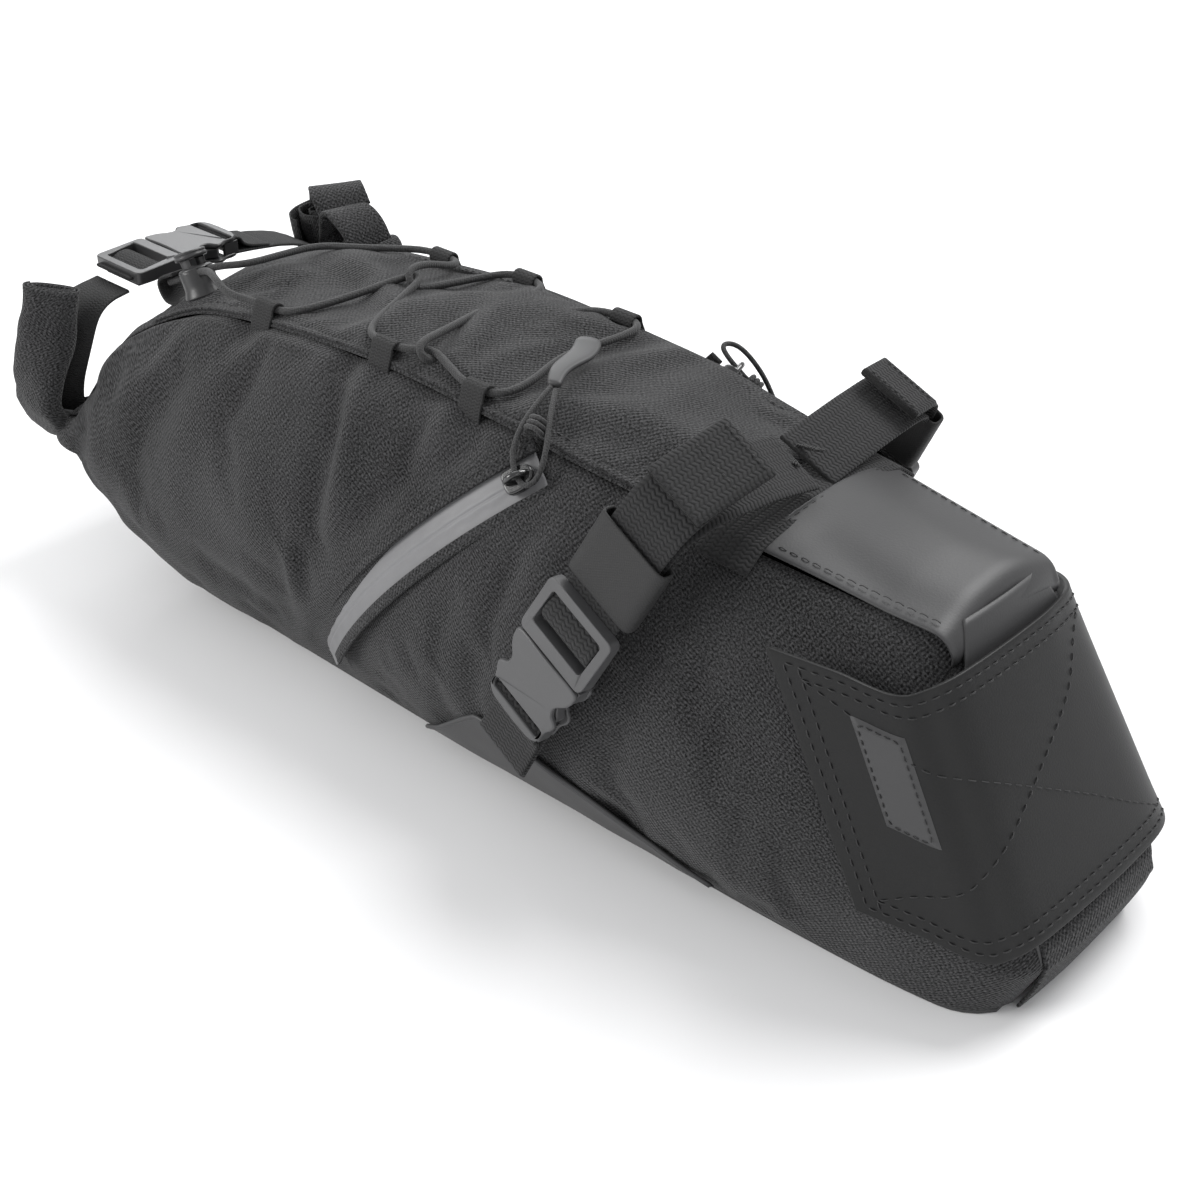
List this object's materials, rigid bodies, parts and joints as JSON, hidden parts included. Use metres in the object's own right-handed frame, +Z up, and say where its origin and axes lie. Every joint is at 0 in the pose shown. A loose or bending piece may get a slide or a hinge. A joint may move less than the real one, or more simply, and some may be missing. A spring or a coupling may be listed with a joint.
{
  "type": "saddle bag",
  "caption": "Roll-top bicycle saddle bag with side zips, shock-cord web, buckled straps and a hook-and-loop seatpost flap.",
  "frame": {"origin": "on the flat base at the middle of the bag's length and width, where the bag rests", "axes": "+X towards the nose that meets the seatpost, +Y to the rider's left, +Z up"},
  "size_m": [0.4923, 0.1898, 0.1699],
  "materials": {
    "woven_fabric": "matt plain weave",
    "coated_fabric": "satin coated fabric",
    "rubber_patch": "matt rubber",
    "hook_and_loop": "fuzzy",
    "stiffener_sheet": "matt",
    "moulded_plastic": "fine moulded grain",
    "zip_laminate": "satin laminate",
    "slider_enamel": "gloss black",
    "braided_cord": "braided",
    "soft_rubber": "matt rubber",
    "elastic_webbing": "smooth elastic",
    "spring_steel": "bright",
    "webbing": "ribbed webbing"
  },
  "bodies": {
    "bag": {"base_panel": "coated_fabric", "base_stiffener": "stiffener_sheet", "cord_lock_body": "moulded_plastic", "cord_lock_spring": "spring_steel", "cord_lock_tab": "webbing", "cord_loop_left_1": "webbing", "cord_loop_left_2": "webbing", "cord_loop_left_3": "webbing", "cord_loop_right_1": "webbing", "cord_loop_right_2": "webbing", "cord_loop_right_3": "webbing", "cross_band": "webbing", "flap_anchor": "coated_fabric", "keeper_left": "elastic_webbing", "keeper_right": "elastic_webbing", "load_strap_left": "webbing", "load_strap_right": "webbing", "loop_patch": "hook_and_loop", "nose_cover": "coated_fabric", "nose_panel": "woven_fabric", "nose_stiffener": "stiffener_sheet", "roll_buckle_female": "moulded_plastic", "roll_collar": "woven_fabric", "roll_stiffener": "stiffener_sheet", "roll_webbing_left": "webbing", "roll_webbing_right": "webbing", "shock_cord": "braided_cord", "side_buckle_female_left": "moulded_plastic", "side_buckle_female_right": "moulded_plastic", "side_panel_left": "woven_fabric", "side_panel_right": "woven_fabric", "stabiliser_wing_left": "coated_fabric", "stabiliser_wing_right": "coated_fabric", "top_panel": "woven_fabric", "wing_webbing_left": "webbing", "wing_webbing_right": "webbing", "zip_tape_left": "zip_laminate", "zip_tape_right": "zip_laminate"},
    "zip_slider_right": {"zip_slider_right": "slider_enamel"},
    "zip_pull_right": {"zip_pull_cord_right": "braided_cord", "zip_pull_tab_right": "soft_rubber"},
    "side_buckle_right": {"side_buckle_male_right": "moulded_plastic", "strap_tail_right": "webbing"},
    "zip_slider_left": {"zip_slider_left": "slider_enamel"},
    "zip_pull_left": {"zip_pull_cord_left": "braided_cord", "zip_pull_tab_left": "soft_rubber"},
    "side_buckle_left": {"side_buckle_male_left": "moulded_plastic", "strap_tail_left": "webbing"},
    "roll_buckle": {"roll_buckle_male": "moulded_plastic", "roll_strap_loop": "webbing"},
    "cord_lock_button": {"cord_lock_plunger": "moulded_plastic"},
    "seatpost_flap": {"seatpost_flap": "coated_fabric", "flap_hook_strip": "hook_and_loop", "flap_patch": "rubber_patch"}
  },
  "joints": [
    {"name": "zip_run_right", "type": "hinge", "parent": "bag", "child": "zip_slider_right", "pos_m": [-0.00685, 0.0845, 0.03327], "axis": [0.7332, -0.2663, -0.6257], "range_deg": [0, 47], "deforming": ["zip_pull_cord_right", "zip_pull_tab_right"]},
    {"name": "zip_pull_swing_right", "type": "hinge", "parent": "zip_slider_right", "child": "zip_pull_right", "pos_m": [0.0245, -0.0593, 0.1312], "axis": [0.9313, 0.3367, 0.1389], "range_deg": [0, 60]},
    {"name": "side_buckle_release_right", "type": "slide", "parent": "bag", "child": "side_buckle_right", "axis": [0.4421, 0.151, 0.8842], "range_m": [0, 0.018]},
    {"name": "zip_run_left", "type": "hinge", "parent": "bag", "child": "zip_slider_left", "pos_m": [-0.00685, -0.0845, 0.03327], "axis": [-0.7332, -0.2663, 0.6257], "range_deg": [0, 47], "deforming": ["zip_pull_cord_left", "zip_pull_tab_left"]},
    {"name": "zip_pull_swing_left", "type": "hinge", "parent": "zip_slider_left", "child": "zip_pull_left", "pos_m": [0.0245, 0.0593, 0.1312], "axis": [0.9477, -0.3059, 0.091], "range_deg": [0, 96]},
    {"name": "side_buckle_release_left", "type": "slide", "parent": "bag", "child": "side_buckle_left", "axis": [0.4421, -0.151, 0.8842], "range_m": [0, 0.018]},
    {"name": "roll_buckle_release", "type": "slide", "parent": "bag", "child": "roll_buckle", "axis": [0, -1, 0], "range_m": [0, 0.018]},
    {"name": "cord_lock_press", "type": "slide", "parent": "bag", "child": "cord_lock_button", "axis": [0.436, 0, -0.9], "range_m": [0, 0.003], "stiffness_N_per_m": 900, "springref_m": -0.002, "deforming": ["cord_lock_spring"]},
    {"name": "flap_open", "type": "hinge", "parent": "bag", "child": "seatpost_flap", "pos_m": [0.20719, 0.04, 0.07901], "axis": [-0.4611, 0, 0.8874], "range_deg": [0, 110]}
  ],
  "couplings": [
    {"joint": "zip_pull_swing_right", "follows": "zip_run_right", "ratio": 1.2},
    {"joint": "zip_pull_swing_left", "follows": "zip_run_left", "ratio": 2}
  ]
}
